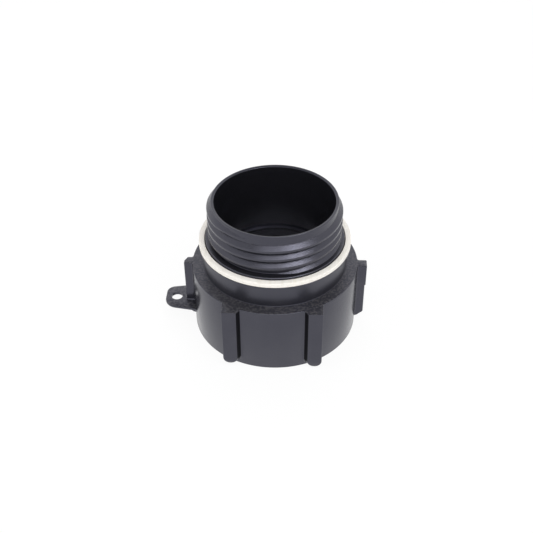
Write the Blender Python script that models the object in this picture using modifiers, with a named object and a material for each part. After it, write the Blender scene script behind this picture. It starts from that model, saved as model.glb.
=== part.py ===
"""Thread adapter: a moulded plastic barrel adapter with a coarse male thread, and a female one inside.

Metres, +Z up. The collar's lower face lies on Z = 0, the male end points up and the ear points to -X.
The thread axis is upright at X = AXIS_X, so that the middle of the whole footprint is the origin.
The adapter body is one moulding. The flange gasket rests on the neck's shoulder, and the socket gasket lies
against the web at the foot of the socket.
"""

import math

import bmesh
import bpy

MM = 0.001

# Clearance kept between pieces that rest on each other.
REST_GAP = 0.3 * MM

# Roundness of the turned shapes and of the threads, in steps a turn, and of the small roundings.
TURN_STEPS = 72
FILLET_STEPS = 3
LUG_ROUND_STEPS = 5
EAR_CORNER_STEPS = 6
EAR_HOLE_STEPS = 32

# Spigot and its bore. The bore's lower end narrows to the hole in the web that the socket's seal bears on.
BORE_R = 24.7 * MM
SPIGOT_WALL = 1.6 * MM
RIM_WIDTH = 1.3 * MM
RIM_EDGE = 0.2 * MM
RIM_TAPER = 3.2 * MM
LEAD_IN_DROP = 2.6 * MM
TRIM_DROP = 0.1 * MM
TRIM_SIZE = 3.0 * MM
LEDGE_WIDTH = 1.5 * MM
LEDGE_EDGE = 0.3 * MM

# How far a thread's ridge is set into the wall, and the share of its height left at a faded end.
THREAD_SINK = 0.15 * MM
THREAD_END_SHARE = 0.03

# Male thread, right-handed: a steep flank below each flat crest, and a slanting one above it.
MALE_ROOT_R = BORE_R + SPIGOT_WALL
MALE_DEPTH = 1.45 * MM
MALE_R = MALE_ROOT_R + MALE_DEPTH
MALE_PITCH = 4.0 * MM
MALE_CREST = 0.9 * MM
MALE_UNDER = 0.3 * MM
MALE_FLANK = 1.3 * MM
MALE_START_TURN = -37.5
MALE_END_TURN = 1432.5
MALE_FADE_IN = 95.0
MALE_FADE_OUT = 55.0

# Boss that centres the flange gasket, and the gasket.
BOSS_STEP = 1.25 * MM
BOSS_R = MALE_R + BOSS_STEP
BOSS_HEIGHT = 2.95 * MM
BOSS_CHAMFER = 0.5 * MM
GASKET_WIDTH = 2.3 * MM
GASKET_THICKNESS = 2.05 * MM
GASKET_OUT_R = BOSS_R + REST_GAP + GASKET_WIDTH

# Neck, which widens a little towards the shoulder that the gasket rests on.
GASKET_OVERHANG = 0.1 * MM
NECK_TAPER = 1.1 * MM
NECK_HEAD_R = GASKET_OUT_R - GASKET_OVERHANG
NECK_FOOT_R = NECK_HEAD_R - NECK_TAPER
NECK_FILLET = 0.9 * MM

# Collar.
COLLAR_STEP = 4.6 * MM
COLLAR_R = NECK_FOOT_R + COLLAR_STEP
COLLAR_EDGE = 0.35 * MM

# Heights, from the collar's lower face upwards.
SOCKET_DEPTH = 25.0 * MM
WEB_THICKNESS = 4.5 * MM
NECK_HEIGHT = 10.5 * MM
SPIGOT_HEIGHT = 20.7 * MM
COLLAR_TOP = SOCKET_DEPTH + WEB_THICKNESS
SHOULDER_Z = COLLAR_TOP + NECK_HEIGHT
BOSS_TOP = SHOULDER_Z + BOSS_HEIGHT
SPIGOT_TOP = SHOULDER_Z + SPIGOT_HEIGHT
MALE_START_RISE = 1.85 * MM
MALE_START_Z = SHOULDER_Z + MALE_START_RISE

# Socket in the collar, with its female thread.
COLLAR_WALL = 4.7 * MM
SOCKET_R = COLLAR_R - COLLAR_WALL
SOCKET_MOUTH = 1.2 * MM
SEAT_EDGE = 0.4 * MM
FEMALE_DEPTH = 2.4 * MM
FEMALE_R = SOCKET_R - FEMALE_DEPTH
FEMALE_PITCH = 6.0 * MM
FEMALE_CREST = 1.6 * MM
FEMALE_BASE = 3.6 * MM
FEMALE_START_Z = 4.0 * MM
FEMALE_START_TURN = 2.5
FEMALE_END_TURN = 947.5
FEMALE_FADE = 70.0

# Seal at the foot of the socket, between the web's hole and the female thread.
SEAL_MARGIN = 0.5 * MM
SEAL_WIDTH = 2.4 * MM
SEAL_THICKNESS = 2.0 * MM
SEAL_OUT_R = FEMALE_R - SEAL_MARGIN
SEAL_IN_R = SEAL_OUT_R - SEAL_WIDTH

# Grip lugs. The front pair is mirrored to the back. Each has a half-round foot, and its inner side slants
# in by LUG_SLANT on its way to the wall.
LUG_FACE_DROP = 0.4 * MM
LUG_FACE_Y = COLLAR_R - LUG_FACE_DROP
LUG_IN_X = 14.4 * MM
LUG_WIDTH = 5.9 * MM
LUG_OUT_X = LUG_IN_X + LUG_WIDTH
LUG_SLANT = 1.3 * MM
LUG_EMBED = 2.5 * MM
LUG_TOP_DROP = 0.12 * MM
LUG_TOP = COLLAR_TOP - LUG_TOP_DROP
LUG_ROUND = 2.8 * MM
LEFT_LUG_FOOT = 1.9 * MM
RIGHT_LUG_FOOT = 0.8 * MM

# Side lugs: each stands out from the collar, and its foot runs back to the wall. The left one's back edge
# is cut.
SIDE_LUG_REACH = 3.9 * MM
SIDE_LUG_STEP = 0.4 * MM
SIDE_LUG_STEP_Z = 19.0 * MM
SIDE_LUG_FOOT = 2.0 * MM
SIDE_LUG_SLANT = 2.1 * MM
SIDE_LUG_WIDTH = 4.4 * MM
SIDE_LUG_Y = -1.25 * MM
LEFT_LUG_CHAMFER = 1.0 * MM
SIDE_LUG_R = COLLAR_R + SIDE_LUG_REACH

# Tether ear.
EAR_REACH = 12.8 * MM
EAR_TIP_X = COLLAR_R + EAR_REACH
EAR_HOLE_MARGIN = 4.8 * MM
EAR_HOLE_X = EAR_TIP_X - EAR_HOLE_MARGIN
EAR_HOLE_D = 4.8 * MM
EAR_HALF_TIP = 6.0 * MM
EAR_HALF_ROOT = 8.4 * MM
EAR_TOP = 9.3 * MM
EAR_THICKNESS = 1.2 * MM
EAR_CUT_DEPTH = 6 * EAR_THICKNESS
EAR_CORNER = 3.6 * MM
EAR_FLARE = 1.8 * MM
EAR_FLARE_BEND = 0.3
EAR_EMBED = 0.8 * MM

# Where the thread axis stands, with the ear's tip and the right side lug equally far from the origin.
AXIS_X = (EAR_TIP_X - SIDE_LUG_R) / 2


def clear_scene():
    for obj in list(bpy.data.objects):
        bpy.data.objects.remove(obj, do_unlink=True)
    for mesh in list(bpy.data.meshes):
        bpy.data.meshes.remove(mesh)


def make_collection(name, helpers=False):
    collection = bpy.data.collections.new(name)
    bpy.context.scene.collection.children.link(collection)
    collection.hide_render = helpers
    return collection


def make_material(name, colour, roughness):
    material = bpy.data.materials.new(name)
    material.use_nodes = True
    shader = material.node_tree.nodes["Principled BSDF"]
    shader.inputs["Base Color"].default_value = (*colour, 1.0)
    shader.inputs["Roughness"].default_value = roughness
    material.diffuse_color = (*colour, 1.0)
    return material


def add_object(name, mesh, collection):
    obj = bpy.data.objects.new(name, mesh)
    collection.objects.link(obj)
    return obj


def as_helper(obj):
    obj.hide_render = True
    obj.display_type = "WIRE"
    return obj


def mesh_from(name, vertices, faces=(), edges=()):
    mesh = bpy.data.meshes.new(name)
    mesh.from_pydata(vertices, edges, faces)
    mesh.update()
    return mesh


def turned(name, profile, collection):
    """A closed (r, z) profile, listed anticlockwise, turned round the Z axis."""
    vertices = [(r, 0.0, z) for r, z in profile]
    edges = [(i, (i + 1) % len(profile)) for i in range(len(profile))]
    obj = add_object(name, mesh_from(name, vertices, edges=edges), collection)
    screw = obj.modifiers.new("Turn", "SCREW")
    screw.axis = "Z"
    screw.angle = math.tau
    screw.steps = TURN_STEPS
    screw.render_steps = TURN_STEPS
    screw.use_merge_vertices = True
    screw.merge_threshold = 1e-6
    screw.use_smooth_shade = False
    screw.use_normal_flip = True
    return obj


def prism(name, outline, z0, z1, collection, rounds=(), flat_ends=()):
    """An (x, y) outline raised from z0 to z1. Edges picked by rounds or flat_ends carry a bevel weight."""
    bm = bmesh.new()
    weight = bm.edges.layers.float.new("bevel_weight_edge")
    low = [bm.verts.new((x, y, z0)) for x, y in outline]
    high = [bm.verts.new((x, y, z1)) for x, y in outline]
    bm.faces.new(list(reversed(low)))
    bm.faces.new(high)
    count = len(outline)
    for i in range(count):
        j = (i + 1) % count
        bm.faces.new((low[i], low[j], high[j], high[i]))
    for i in rounds:
        bm.edges.get((low[i], high[i]))[weight] = 1.0
    for i in flat_ends:
        bm.edges.get((low[i], low[(i + 1) % count]))[weight] = 1.0
    bmesh.ops.recalc_face_normals(bm, faces=bm.faces)
    mesh = bpy.data.meshes.new(name)
    bm.to_mesh(mesh)
    bm.free()
    return add_object(name, mesh, collection)


def add_bevel(obj, width, segments):
    bevel = obj.modifiers.new("Round", "BEVEL")
    bevel.limit_method = "WEIGHT"
    bevel.width = width
    bevel.segments = segments


def add_back_copy(obj):
    mirror = obj.modifiers.new("Mirror", "MIRROR")
    mirror.use_axis = (False, True, False)
    mirror.use_mirror_merge = False


def add_boolean(obj, other, operation):
    boolean = obj.modifiers.new(f"{operation.title()} {other.name}", "BOOLEAN")
    boolean.object = other
    boolean.operation = operation
    boolean.solver = "EXACT"


def smooth_step(t):
    t = min(max(t, 0.0), 1.0)
    return t * t * (3.0 - 2.0 * t)


def helical_ridge(name, section_at, first, last, collection):
    """A loft of closed (r, z) sections along a helix. section_at(degrees) lists them anticlockwise."""
    count = round((last - first) / 360.0 * TURN_STEPS)
    vertices = []
    faces = []
    for i in range(count + 1):
        degrees = first + (last - first) * i / count
        angle = math.radians(degrees - 90.0)
        section = section_at(degrees)
        size = len(section)
        vertices += [(r * math.cos(angle), r * math.sin(angle), z) for r, z in section]
    for i in range(count):
        for k in range(size):
            m = (k + 1) % size
            a, b = i * size, (i + 1) * size
            faces.append((a + k, a + m, b + m, b + k))
    faces.append(tuple(range(size)))
    faces.append(tuple(count * size + k for k in reversed(range(size))))
    mesh = mesh_from(name, vertices, faces)
    bm = bmesh.new()
    bm.from_mesh(mesh)
    bmesh.ops.recalc_face_normals(bm, faces=bm.faces)
    bm.to_mesh(mesh)
    bm.free()
    return add_object(name, mesh, collection)


def male_section(degrees):
    """The male thread's ridge, which rises out of the wall at its start and sinks back at its end."""
    rise = smooth_step((degrees - MALE_START_TURN) / MALE_FADE_IN)
    fall = smooth_step((MALE_END_TURN - degrees) / MALE_FADE_OUT)
    share = THREAD_END_SHARE + (1.0 - THREAD_END_SHARE) * min(rise, fall)
    edge = MALE_START_Z + MALE_PITCH * degrees / 360.0
    base = MALE_ROOT_R - THREAD_SINK
    crest = base + (MALE_R - base) * share
    top = edge + MALE_CREST + MALE_FLANK * share
    bottom = edge - MALE_UNDER * share
    inside = (BORE_R + MALE_ROOT_R) / 2 - THREAD_SINK
    return [
        (inside, bottom),
        (base, bottom),
        (crest, edge),
        (crest, edge + MALE_CREST),
        (base, top),
        (inside, top),
    ]


def female_section(degrees):
    """The female thread's ridge, which stands inwards from the socket's wall."""
    fade = smooth_step(min(degrees - FEMALE_START_TURN, FEMALE_END_TURN - degrees) / FEMALE_FADE)
    share = THREAD_END_SHARE + (1.0 - THREAD_END_SHARE) * fade
    middle = FEMALE_START_Z + FEMALE_PITCH * degrees / 360.0
    base = SOCKET_R + THREAD_SINK
    crest = base + (FEMALE_R - base) * share
    half = (FEMALE_CREST + (FEMALE_BASE - FEMALE_CREST) * share) / 2
    return [
        (base + THREAD_SINK, middle - half),
        (base + THREAD_SINK, middle + half),
        (base, middle + half),
        (crest, middle + FEMALE_CREST / 2),
        (crest, middle - FEMALE_CREST / 2),
        (base, middle - half),
    ]


def arc(centre, radius, start, end, steps):
    """Points of an arc, angles in degrees."""
    points = []
    for i in range(steps + 1):
        angle = math.radians(start + (end - start) * i / steps)
        points.append((centre[0] + radius * math.cos(angle), centre[1] + radius * math.sin(angle)))
    return points


def body_profile():
    """The body's wall from the socket's mouth up the outside, over the rim and down the inside."""
    rim_r = BORE_R + RIM_WIDTH
    web_r = BORE_R - LEDGE_WIDTH
    profile = [
        (SOCKET_R + SOCKET_MOUTH, 0.0),
        (COLLAR_R - COLLAR_EDGE, 0.0),
        (COLLAR_R, COLLAR_EDGE),
        (COLLAR_R, COLLAR_TOP - COLLAR_EDGE),
        (COLLAR_R - COLLAR_EDGE, COLLAR_TOP),
    ]
    fillet_centre = (NECK_FOOT_R + NECK_FILLET, COLLAR_TOP + NECK_FILLET)
    profile += arc(fillet_centre, NECK_FILLET, 270.0, 180.0, FILLET_STEPS)
    profile += [
        (NECK_HEAD_R, SHOULDER_Z - COLLAR_EDGE),
        (NECK_HEAD_R, SHOULDER_Z),
        (BOSS_R, SHOULDER_Z),
        (BOSS_R, BOSS_TOP - BOSS_CHAMFER),
        (BOSS_R - BOSS_CHAMFER, BOSS_TOP),
        (MALE_ROOT_R, BOSS_TOP),
        (MALE_ROOT_R, SPIGOT_TOP - RIM_TAPER),
        (rim_r, SPIGOT_TOP),
        (BORE_R + RIM_EDGE, SPIGOT_TOP),
        (BORE_R, SPIGOT_TOP - RIM_EDGE),
        (BORE_R, COLLAR_TOP),
        (web_r + LEDGE_EDGE, COLLAR_TOP),
        (web_r, COLLAR_TOP - LEDGE_EDGE),
        (web_r, SOCKET_DEPTH + SEAT_EDGE),
        (web_r + SEAT_EDGE, SOCKET_DEPTH),
        (SOCKET_R, SOCKET_DEPTH),
        (SOCKET_R, SOCKET_MOUTH),
    ]
    return profile


def lead_in_profile():
    """What lies outside the spigot's lead-in cone and above its rim, to trim the male thread's top."""
    rim_r = BORE_R + RIM_WIDTH
    top = SPIGOT_TOP - TRIM_DROP
    fall = LEAD_IN_DROP / (MALE_R - rim_r)
    outside = MALE_R + TRIM_SIZE
    return [
        (outside, top - (outside - rim_r) * fall),
        (outside, top + TRIM_SIZE),
        (BORE_R, top + TRIM_SIZE),
        (BORE_R, top),
        (rim_r, top),
    ]


def lug_outline():
    """A front right grip lug seen from above: its outer side, its face and its slanted inner side."""
    outer_wall = -math.sqrt(COLLAR_R**2 - LUG_OUT_X**2) + LUG_EMBED
    rise = LUG_FACE_Y - math.sqrt(COLLAR_R**2 - (LUG_IN_X - LUG_SLANT) ** 2)
    reach = 1.0 + LUG_EMBED / math.hypot(LUG_SLANT, rise)
    return [
        (LUG_OUT_X, outer_wall),
        (LUG_OUT_X, -LUG_FACE_Y),
        (LUG_IN_X, -LUG_FACE_Y),
        (LUG_IN_X - reach * LUG_SLANT, reach * rise - LUG_FACE_Y),
    ]


def side_lug_outline():
    """A side lug seen from the front, as (x, z): a slanting foot, and a small step part way up its edge."""
    lower_r = SIDE_LUG_R - SIDE_LUG_STEP
    return [
        (COLLAR_R - LUG_EMBED, SIDE_LUG_FOOT),
        (COLLAR_R, SIDE_LUG_FOOT),
        (lower_r, SIDE_LUG_FOOT + SIDE_LUG_SLANT),
        (lower_r, SIDE_LUG_STEP_Z),
        (SIDE_LUG_R, SIDE_LUG_STEP_Z + SIDE_LUG_STEP),
        (SIDE_LUG_R, LUG_TOP),
        (COLLAR_R - LUG_EMBED, LUG_TOP),
    ]


def ear_outline():
    """The ear seen from above, flared where it meets the collar, listed anticlockwise."""
    root_x = -math.sqrt((COLLAR_R - EAR_EMBED) ** 2 - (EAR_HALF_ROOT + EAR_FLARE) ** 2)
    wall_x = -math.sqrt(COLLAR_R**2 - EAR_HALF_ROOT**2)
    upper = [
        (-EAR_TIP_X, EAR_HALF_TIP),
        (wall_x - EAR_FLARE, EAR_HALF_ROOT),
        (wall_x - EAR_FLARE_BEND * EAR_FLARE, EAR_HALF_ROOT + EAR_FLARE_BEND * EAR_FLARE),
        (root_x, EAR_HALF_ROOT + EAR_FLARE),
    ]
    lower = [(x, -y) for x, y in reversed(upper)]
    return [(x, y + SIDE_LUG_Y) for x, y in upper + lower]


def build_body(collection, helpers, material):
    body = turned("adapter_body", body_profile(), collection)
    body.data.materials.append(material)

    male = as_helper(helical_ridge("male_ridge", male_section, MALE_START_TURN, MALE_END_TURN, helpers))
    trim = as_helper(turned("lead_in_trim", lead_in_profile(), helpers))
    add_boolean(male, trim, "DIFFERENCE")
    add_boolean(body, male, "UNION")

    female = helical_ridge("female_ridge", female_section, FEMALE_START_TURN, FEMALE_END_TURN, helpers)
    as_helper(female)
    add_boolean(body, female, "UNION")

    for name, side, foot in (("left_lugs", -1.0, LEFT_LUG_FOOT), ("right_lugs", 1.0, RIGHT_LUG_FOOT)):
        outline = [(side * x, y) for x, y in lug_outline()]
        lugs = as_helper(prism(name, outline, foot, LUG_TOP, helpers, flat_ends=(0, 2)))
        add_bevel(lugs, LUG_ROUND, LUG_ROUND_STEPS)
        add_back_copy(lugs)
        add_boolean(body, lugs, "UNION")

    half = SIDE_LUG_WIDTH / 2
    for name, side, cut_edges in (("left_side_lug", -1.0, (4,)), ("right_side_lug", 1.0, ())):
        outline = [(side * x, z) for x, z in side_lug_outline()]
        lug = as_helper(prism(name, outline, -half, half, helpers, flat_ends=cut_edges))
        if cut_edges:
            add_bevel(lug, LEFT_LUG_CHAMFER, 1)
        lug.rotation_euler.x = math.radians(90.0)
        lug.location.y = SIDE_LUG_Y
        add_boolean(body, lug, "UNION")

    ear = as_helper(prism("ear", ear_outline(), EAR_TOP - EAR_THICKNESS, EAR_TOP, helpers, rounds=(0, 7)))
    add_bevel(ear, EAR_CORNER, EAR_CORNER_STEPS)
    add_boolean(body, ear, "UNION")
    bpy.ops.mesh.primitive_cylinder_add(
        vertices=EAR_HOLE_STEPS,
        radius=EAR_HOLE_D / 2,
        depth=EAR_CUT_DEPTH,
        location=(-EAR_HOLE_X, SIDE_LUG_Y, EAR_TOP),
    )
    hole = as_helper(bpy.context.object)
    hole.name = "ear_hole"
    for other in list(hole.users_collection):
        other.objects.unlink(hole)
    helpers.objects.link(hole)
    add_boolean(body, hole, "DIFFERENCE")


def build_gaskets(collection, material, hidden_material):
    foot = SHOULDER_Z + REST_GAP
    in_r = BOSS_R + REST_GAP
    flange = turned(
        "flange_gasket",
        [
            (in_r, foot),
            (GASKET_OUT_R, foot),
            (GASKET_OUT_R, foot + GASKET_THICKNESS),
            (in_r, foot + GASKET_THICKNESS),
        ],
        collection,
    )
    flange.data.materials.append(material)
    top = SOCKET_DEPTH - REST_GAP
    seal = turned(
        "socket_gasket",
        [
            (SEAL_IN_R, top - SEAL_THICKNESS),
            (SEAL_OUT_R, top - SEAL_THICKNESS),
            (SEAL_OUT_R, top),
            (SEAL_IN_R, top),
        ],
        collection,
    )
    seal.data.materials.append(hidden_material)


def main():
    clear_scene()
    collection = make_collection("thread_adapter")
    helpers = make_collection("helpers", helpers=True)
    plastic = make_material("black_moulded_plastic", (0.014, 0.0145, 0.017), 0.35)
    cream = make_material("cream_gasket", (0.86, 0.83, 0.76), 0.6)
    seal = make_material("black_seal", (0.015, 0.015, 0.016), 0.55)
    build_body(collection, helpers, plastic)
    build_gaskets(collection, cream, seal)
    for obj in (*collection.objects, *helpers.objects):
        obj.location.x += AXIS_X
    bpy.context.view_layer.update()


main()
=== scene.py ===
"""The looks of the thread adapter: one black plastic moulding with two flat gaskets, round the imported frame.

Everything is in metres, in the frame of the solids: +Z up, the collar's lower face on Z = 0, the tether ear
towards -X, and the thread axis upright at X = AXIS_X.
"""

import logging
import math
from collections.abc import Sequence
from dataclasses import dataclass
from enum import Enum

import bmesh
import bpy
from mathutils import Matrix, Vector


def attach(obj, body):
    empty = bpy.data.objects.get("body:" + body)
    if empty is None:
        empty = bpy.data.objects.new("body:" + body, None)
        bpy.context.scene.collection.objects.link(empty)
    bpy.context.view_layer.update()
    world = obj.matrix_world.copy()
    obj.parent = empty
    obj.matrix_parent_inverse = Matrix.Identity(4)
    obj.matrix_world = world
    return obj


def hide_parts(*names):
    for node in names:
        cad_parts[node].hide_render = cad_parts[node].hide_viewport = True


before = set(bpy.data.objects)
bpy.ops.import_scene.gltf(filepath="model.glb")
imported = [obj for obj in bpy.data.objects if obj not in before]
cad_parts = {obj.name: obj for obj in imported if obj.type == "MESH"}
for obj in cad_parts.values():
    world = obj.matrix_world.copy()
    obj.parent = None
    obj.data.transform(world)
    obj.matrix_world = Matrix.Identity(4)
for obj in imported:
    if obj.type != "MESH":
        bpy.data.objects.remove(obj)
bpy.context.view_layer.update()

LOG = logging.getLogger("thread_adapter")

MM = 0.001
AXIS_X = 4.45 * MM
BODY = "root"

COLLAR_R = 35.0 * MM
SOCKET_R = 30.3 * MM
SPIGOT_R = 25.95 * MM
SPIGOT_TOP = 60.7 * MM
EAR_TOP = 9.3 * MM
EAR_Y = -1.25 * MM

MERGE_GAP = 1e-7
SMALLEST_TURN = 1e-3
LONGEST_CORNER = 0.48
SOFT_TURN = 32.0
SOFT_SHARE = 0.3

Point = tuple[float, float]
Point3 = tuple[float, float, float]
Range = tuple[float, float]
Colour = tuple[float, float, float]
Inputs = dict[str | int, object]


class Solid(Enum):
    """The solids of the frame."""

    MOULDING = "adapter_body"
    GASKET = "flange_gasket"
    SEAL = "socket_gasket"


class Slot(Enum):
    """The record's material slots."""

    PLASTIC = "black_plastic"
    GASKET = "cream_gasket"
    SEAL = "black_seal"


class Side(Enum):
    """Left and right of the part, seen from the front."""

    LEFT = -1.0
    RIGHT = 1.0


# Plane curves


def arc(centre: Point, radius: float, start: float, end: float, steps: int) -> list[Point]:
    """Points along a circular arc.

    Args:
        centre: The arc's centre.
        radius: Its radius, in metres.
        start: The first angle, in degrees.
        end: The last angle, in degrees.
        steps: How many chords the arc has.

    Returns:
        The arc's points, both ends included.
    """
    points = []
    for i in range(steps + 1):
        angle = math.radians(start + (end - start) * i / steps)
        points.append((centre[0] + radius * math.cos(angle), centre[1] + radius * math.sin(angle)))
    return points


def short_arc(centre: Vector, radius: float, first: Vector, last: Vector, steps: int) -> list[Point]:
    """Points along the shorter arc between two points of a circle.

    Args:
        centre: The circle's centre.
        radius: Its radius, in metres.
        first: Where the arc starts.
        last: Where it ends.
        steps: How many chords the arc has.

    Returns:
        The arc's points, both ends included.
    """
    start = math.atan2(first.y - centre.y, first.x - centre.x)
    end = math.atan2(last.y - centre.y, last.x - centre.x)
    turn = (end - start + math.pi) % math.tau - math.pi
    angles = [start + turn * k / steps for k in range(steps + 1)]
    return [(centre.x + radius * math.cos(a), centre.y + radius * math.sin(a)) for a in angles]


def rounded(outline: Sequence[Point3], steps: int = 4) -> list[Point]:
    """Rounds the corners of a closed outline.

    Args:
        outline: Corners as (x, y, radius). A radius of 0 keeps the corner sharp.
        steps: Chords in each rounded corner.

    Returns:
        The outline's points, with an arc in place of each rounded corner.
    """
    result: list[Point] = []
    for i, (x, y, radius) in enumerate(outline):
        here = Vector((x, y))
        back = Vector(outline[i - 1][:2]) - here
        ahead = Vector(outline[(i + 1) % len(outline)][:2]) - here
        half = back.angle(ahead) / 2 if back.length and ahead.length else 0.0
        if radius <= 0.0 or half < SMALLEST_TURN or half > math.pi / 2 - SMALLEST_TURN:
            result.append((x, y))
            continue
        reach = min(radius / math.tan(half), LONGEST_CORNER * back.length, LONGEST_CORNER * ahead.length)
        size = reach * math.tan(half)
        back.normalize()
        ahead.normalize()
        middle = here + (back + ahead).normalized() * (size / math.sin(half))
        result += short_arc(middle, size, here + back * reach, here + ahead * reach, steps)
    return result


def wall_fillet(
    start: Point, direction: Point, wall: float, radius: float, side: float, steps: int = 5
) -> list[Point]:
    """A concave arc between a straight flank and the round wall that it meets, seen from above.

    Args:
        start: A point of the flank, in metres from the axis.
        direction: The flank's direction, from the wall outwards.
        wall: The wall's radius.
        radius: The fillet's radius.
        side: 1 where the fillet lies to the left of the direction, and -1 to the right.
        steps: Chords in the arc.

    Returns:
        The arc's points, from the wall to the flank.
    """
    along = Vector(direction).normalized()
    out = Vector((-along.y, along.x)) * side
    base = Vector(start) + out * radius
    reach = (wall + radius) ** 2 - (base.dot(base) - base.dot(along) ** 2)
    centre = base + along * (-base.dot(along) + math.sqrt(max(reach, 0.0)))
    return short_arc(centre, radius, centre * (wall / (wall + radius)), centre - out * radius, steps)


def on_wall(
    first: Sequence[Point], corners: Sequence[Point3], last: Sequence[Point], depth: float, steps: int = 4
) -> list[Point]:
    """Outlines what stands on the round wall, seen from above, with both ends inside the wall.

    Args:
        first: The fillet before the corners, from the wall outwards.
        corners: The outer corners as (x, y, radius).
        last: The fillet after them, from the wall outwards.
        depth: Where the outline starts and ends, as a share of the way from the axis to the wall.
        steps: Chords in each rounded corner.

    Returns:
        The outline's points.
    """
    shape = rounded([(*first[-1], 0.0), *corners, (*last[-1], 0.0)], steps)
    start, end = (tuple(Vector(fillet[0]) * depth) for fillet in (first, last))
    return [start, *first[:-1], *shape, *reversed(last[:-1]), end]


# Meshes


def make_object(name: str, mesh: bpy.types.Mesh, sharp: float) -> bpy.types.Object:
    """Merges a mesh's doubles, turns its normals outwards, shades it and makes it an object.

    Args:
        name: The object's name.
        mesh: Its mesh, in the frame of the solids.
        sharp: Edges that turn more than this many degrees stay sharp.

    Returns:
        The object.
    """
    mesh.name = name
    bm = bmesh.new()
    bm.from_mesh(mesh)
    bmesh.ops.remove_doubles(bm, verts=bm.verts, dist=MERGE_GAP)
    bmesh.ops.recalc_face_normals(bm, faces=bm.faces)
    bm.to_mesh(mesh)
    bm.free()
    shade(mesh, sharp)
    obj = bpy.data.objects.new(name, mesh)
    bpy.context.scene.collection.objects.link(obj)
    return obj


def shade(mesh: bpy.types.Mesh, sharp: float) -> None:
    """Shades a mesh smooth, except at the edges that turn more than so many degrees."""
    mesh.shade_smooth()
    mesh.set_sharp_from_angle(angle=math.radians(sharp))


def solid_of(
    name: str, vertices: Sequence[Point3], faces: Sequence[Sequence[int]], sharp: float
) -> bpy.types.Object:
    """Makes an object from points and faces.

    Args:
        name: The object's name.
        vertices: Its points, in metres from the thread axis.
        faces: Its faces, as indices into the points.
        sharp: Edges that turn more than this many degrees stay sharp.

    Returns:
        The object, with its place in its mesh.
    """
    mesh = bpy.data.meshes.new(name)
    mesh.from_pydata([(x + AXIS_X, y, z) for x, y, z in vertices], [], faces)
    return make_object(name, mesh, sharp)


def turned(name: str, profile: Sequence[Point], steps: int, sharp: float) -> bpy.types.Object:
    """Turns a closed profile round the thread axis.

    Args:
        name: The object's name.
        profile: The profile's points as (radius, height).
        steps: How many faces go round.
        sharp: Edges that turn more than this many degrees stay sharp.

    Returns:
        The turned object.
    """
    vertices: list[Point3] = []
    faces: list[list[int]] = []
    size = len(profile)
    for i in range(steps):
        angle = math.tau * i / steps
        vertices += [(r * math.cos(angle), r * math.sin(angle), z) for r, z in profile]
        a, b = i * size, (i + 1) % steps * size
        faces += [[a + k, b + k, b + (k + 1) % size, a + (k + 1) % size] for k in range(size)]
    return solid_of(name, vertices, faces, sharp)


def lofted(name: str, rings: Sequence[tuple[Sequence[Point], float]]) -> bpy.types.Object:
    """Joins flat outlines at rising heights into one closed shell.

    Args:
        name: The object's name.
        rings: Pairs of an outline and its height. Every outline has the same number of points.

    Returns:
        The lofted object.
    """
    vertices: list[Point3] = []
    faces: list[list[int]] = []
    size = len(rings[0][0])
    for i, (outline, z) in enumerate(rings):
        vertices += [(x, y, z) for x, y in outline]
        if i:
            a, b = (i - 1) * size, i * size
            faces += [[a + k, a + (k + 1) % size, b + (k + 1) % size, b + k] for k in range(size)]
    faces.append(list(range(size)))
    faces.append([(len(rings) - 1) * size + k for k in range(size)])
    return solid_of(name, vertices, faces, SOFT_TURN)


def hand_over(
    piece: bpy.types.Object, solid: Solid, slot: Slot, *finishes: bpy.types.Material
) -> bpy.types.Object:
    """Dresses a finished piece and ties it to the frame.

    Args:
        piece: The piece.
        solid: The solid that it stands for.
        slot: The record's material slot; not used.
        finishes: Its materials, where its mesh has none yet.

    Returns:
        The same piece.
    """
    for finish in finishes:
        piece.data.materials.append(finish)
    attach(piece, BODY)
    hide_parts(solid.value)
    return piece


# Node trees


class NodeGraph:
    """A node tree under construction."""

    def __init__(self, tree: bpy.types.NodeTree) -> None:
        """Takes hold of a tree."""
        self.tree = tree

    def put(self, value: object, socket: bpy.types.NodeSocket) -> None:
        """Links or sets a value.

        Args:
            value: A socket to link, or a value to set.
            socket: The input that takes it.
        """
        if isinstance(value, bpy.types.NodeSocket):
            self.tree.links.new(value, socket)
        else:
            socket.default_value = value

    def add(self, kind: str, inputs: Inputs | None = None, **settings: object) -> bpy.types.Node:
        """Adds a node.

        Args:
            kind: The node's type.
            inputs: Sockets to link and values to set, by the input's name or number.
            settings: Properties to set on the node.

        Returns:
            The new node.
        """
        node = self.tree.nodes.new(kind)
        for key, value in settings.items():
            setattr(node, key, value)
        for key, value in (inputs or {}).items():
            self.put(value, node.inputs[key])
        return node

    def math(self, operation: str, a: object, b: object = 0.0, clamp: bool = False) -> bpy.types.NodeSocket:
        """Adds a Math node on two values or sockets, and returns its output."""
        return self.add("ShaderNodeMath", {0: a, 1: b}, operation=operation, use_clamp=clamp).outputs[0]

    def ramp(self, value: object, source: Range, target: Range = (0.0, 1.0)) -> bpy.types.NodeSocket:
        """Maps a range smoothly onto another.

        Args:
            value: The value or socket to map.
            source: The range's start and end.
            target: The results at its start and end.

        Returns:
            The mapped value.
        """
        inputs = {"Value": value, "To Min": target[0], "To Max": target[1]}
        node = self.add("ShaderNodeMapRange", inputs, interpolation_type="SMOOTHSTEP")
        self.put(source[0], node.inputs["From Min"])
        self.put(source[1], node.inputs["From Max"])
        return node.outputs[0]

    def seen(self) -> bpy.types.NodeSocket:
        """Tells the rays that show a surface from those that only light one.

        Returns:
            1 for camera, glossy and transmission rays, and 0 for the others.
        """
        path = self.add("ShaderNodeLightPath").outputs
        either = self.math("MAXIMUM", path["Is Camera Ray"], path["Is Glossy Ray"])
        return self.math("MAXIMUM", either, path["Is Transmission Ray"])


# Thread ridge

RIDGE_TIP = 0.02
SECTION_CORNER_STEPS = 3
SECTION_CUTS = 3


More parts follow.
